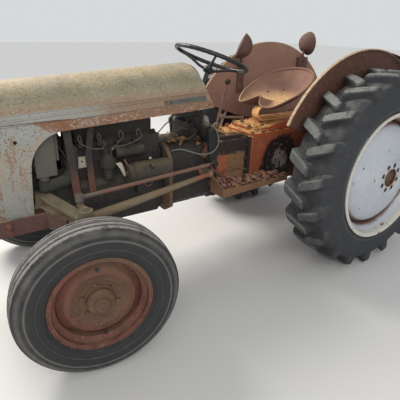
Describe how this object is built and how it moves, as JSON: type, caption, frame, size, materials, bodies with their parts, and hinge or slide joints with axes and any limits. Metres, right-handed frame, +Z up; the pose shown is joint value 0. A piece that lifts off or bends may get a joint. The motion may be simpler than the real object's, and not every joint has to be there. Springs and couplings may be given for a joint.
{
  "type": "vintage utility tractor",
  "caption": "Weathered vintage utility tractor with an arched tilting hood, open engine, lugged rear tyres, bowl seat, curved fenders, front bumper and three-point linkage.",
  "frame": {"origin": "middle of the machine's box, on the ground", "axes": "+X forward, +Y to the driver's left, +Z up"},
  "size_m": [3.05, 1.548, 1.4],
  "materials": {
    "orange_iron": "faded red-orange paint over rust, with grease",
    "dark_iron": "greasy dark engine iron",
    "rust_iron": "rusted forgings and bars",
    "bare_steel": "worn steel",
    "hood_paint": "weathered grey-green paint",
    "slat_paint": "cream paint",
    "fender_rust": "pinkish brown rust",
    "disc_paint": "pale blue-grey paint with rust chips",
    "rim_rust": "rusted red-brown rim",
    "tyre_rubber": "dusty tyre rubber",
    "hose_rubber": "old hose rubber",
    "black_plastic": "worn black moulding",
    "grey_core": "grey radiator paint"
  },
  "bodies": {
    "chassis": {"rear_housing": "orange_iron", "side_covers": "dark_iron", "lift_cover": "orange_iron", "axle_housings": "rust_iron", "gearbox": "orange_iron", "engine_block": "dark_iron", "cylinder_head": "dark_iron", "manifold": "rust_iron", "ignition": "black_plastic", "leads": "hose_rubber", "cable": "hose_rubber", "starter_motor": "bare_steel", "fan": "bare_steel", "radiator": "grey_core", "hoses": "hose_rubber", "front_support": "dark_iron", "front_axle": "rust_iron", "radius_rods": "rust_iron", "bumper": "rust_iron", "fuel_tank": "dark_iron", "braces": "rust_iron", "dash_panel": "dark_iron", "steering_box": "dark_iron", "levers": "bare_steel", "pedals": "rust_iron", "seat": "fender_rust", "seat_spring": "rust_iron", "fenders": "fender_rust", "lamps": "fender_rust", "footrests": "rust_iron", "pto_shaft": "bare_steel", "exhaust_pipe": "rust_iron"},
    "hood": {"hood": "hood_paint", "grille": "slat_paint"},
    "steering_wheel": {"steering_wheel": "black_plastic"},
    "spindle_left": {"spindle_left": "rust_iron"},
    "spindle_right": {"spindle_right": "rust_iron"},
    "drop_arm_left": {"drop_arm_left": "bare_steel"},
    "drop_arm_right": {"drop_arm_right": "bare_steel"},
    "drag_link_left": {"drag_link_left": "rust_iron"},
    "drag_link_right": {"drag_link_right": "rust_iron"},
    "front_wheel_left": {"front_wheel_left": "rim_rust", "front_tyre_left": "tyre_rubber"},
    "front_wheel_right": {"front_wheel_right": "rim_rust", "front_tyre_right": "tyre_rubber"},
    "rear_wheel_left": {"rear_wheel_left": "disc_paint", "rear_tyre_left": "tyre_rubber"},
    "rear_wheel_right": {"rear_wheel_right": "disc_paint", "rear_tyre_right": "tyre_rubber"},
    "lift_arms": {"lift_arms": "rust_iron"},
    "lower_link_left": {"lower_link_left": "rust_iron"},
    "lower_link_right": {"lower_link_right": "rust_iron"},
    "lift_rod_left": {"lift_rod_left": "rust_iron"},
    "lift_rod_right": {"lift_rod_right": "rust_iron"}
  },
  "joints": [
    {"name": "hood_hinge", "type": "hinge", "parent": "chassis", "child": "hood", "pos_m": [1.293, 0, 0.612], "axis": [0, 1, 0], "range_deg": [0, 50]},
    {"name": "steering_turn", "type": "hinge", "parent": "chassis", "child": "steering_wheel", "pos_m": [0.07, 0, 1.248], "axis": [-0.3518, 0, 0.9361], "range_deg": [-360, 540]},
    {"name": "kingpin_left", "type": "hinge", "parent": "chassis", "child": "spindle_left", "pos_m": [1.041, 0.5, 0.355], "axis": [0, 0, 1], "range_deg": [-28.5, 42.5]},
    {"name": "front_wheel_left_spin", "type": "hinge", "parent": "spindle_left", "child": "front_wheel_left", "pos_m": [1.05587, 0.62109, 0.355], "axis": [0.1219, 0.9925, 0], "continuous": true},
    {"name": "drop_arm_left_swing", "type": "hinge", "parent": "chassis", "child": "drop_arm_left", "pos_m": [0.198, 0.216, 0.862], "axis": [0, 1, 0], "range_deg": [-34, 34]},
    {"name": "drag_link_left_swing", "type": "hinge", "parent": "spindle_left", "child": "drag_link_left", "pos_m": [1.02577, 0.37593, 0.715], "axis": [0, 0, 1], "range_deg": [-42.5, 28.5]},
    {"name": "rear_wheel_left_spin", "type": "hinge", "parent": "chassis", "child": "rear_wheel_left", "pos_m": [-0.737, 0.612, 0.61], "axis": [0, 1, 0], "continuous": true},
    {"name": "kingpin_right", "type": "hinge", "parent": "chassis", "child": "spindle_right", "pos_m": [1.041, -0.5, 0.355], "axis": [0, 0, 1], "range_deg": [-28.5, 42.5]},
    {"name": "front_wheel_right_spin", "type": "hinge", "parent": "spindle_right", "child": "front_wheel_right", "pos_m": [1.02613, -0.62109, 0.355], "axis": [0.1219, 0.9925, 0], "continuous": true},
    {"name": "drop_arm_right_swing", "type": "hinge", "parent": "chassis", "child": "drop_arm_right", "pos_m": [0.198, -0.216, 0.862], "axis": [0, 1, 0], "range_deg": [-34, 34]},
    {"name": "drag_link_right_swing", "type": "hinge", "parent": "spindle_right", "child": "drag_link_right", "pos_m": [1.05623, -0.37593, 0.715], "axis": [0, 0, 1], "range_deg": [-42.5, 28.5]},
    {"name": "rear_wheel_right_spin", "type": "hinge", "parent": "chassis", "child": "rear_wheel_right", "pos_m": [-0.737, -0.612, 0.61], "axis": [0, 1, 0], "continuous": true},
    {"name": "lift_raise", "type": "hinge", "parent": "chassis", "child": "lift_arms", "pos_m": [-0.847, 0, 0.81], "axis": [0, 1, 0], "range_deg": [-23, 37]},
    {"name": "lower_link_left_raise", "type": "hinge", "parent": "chassis", "child": "lower_link_left", "pos_m": [-0.707, 0.215, 0.4], "axis": [0, 1, 0], "range_deg": [-13.49, 21.4]},
    {"name": "lift_rod_left_swing", "type": "hinge", "parent": "lift_arms", "child": "lift_rod_left", "pos_m": [-1.0595, 0.21, 0.86694], "axis": [0, 1, 0], "range_deg": [-32.69, 20.51]},
    {"name": "lower_link_right_raise", "type": "hinge", "parent": "chassis", "child": "lower_link_right", "pos_m": [-0.707, -0.215, 0.4], "axis": [0, 1, 0], "range_deg": [-13.49, 21.4]},
    {"name": "lift_rod_right_swing", "type": "hinge", "parent": "lift_arms", "child": "lift_rod_right", "pos_m": [-1.0595, -0.21, 0.86694], "axis": [0, 1, 0], "range_deg": [-32.69, 20.51]}
  ],
  "couplings": [
    {"joint": "kingpin_left", "follows": "steering_turn", "ratio": 0.0778},
    {"joint": "drag_link_left_swing", "follows": "steering_turn", "ratio": -0.0778},
    {"joint": "drop_arm_left_swing", "follows": "steering_turn", "ratio": -0.0608},
    {"joint": "lower_link_left_raise", "follows": "lift_raise", "ratio": 0.565},
    {"joint": "lift_rod_left_swing", "follows": "lift_raise", "ratio": -0.87},
    {"joint": "kingpin_right", "follows": "steering_turn", "ratio": 0.0778},
    {"joint": "drag_link_right_swing", "follows": "steering_turn", "ratio": -0.0778},
    {"joint": "drop_arm_right_swing", "follows": "steering_turn", "ratio": 0.0608},
    {"joint": "lower_link_right_raise", "follows": "lift_raise", "ratio": 0.565},
    {"joint": "lift_rod_right_swing", "follows": "lift_raise", "ratio": -0.87}
  ]
}
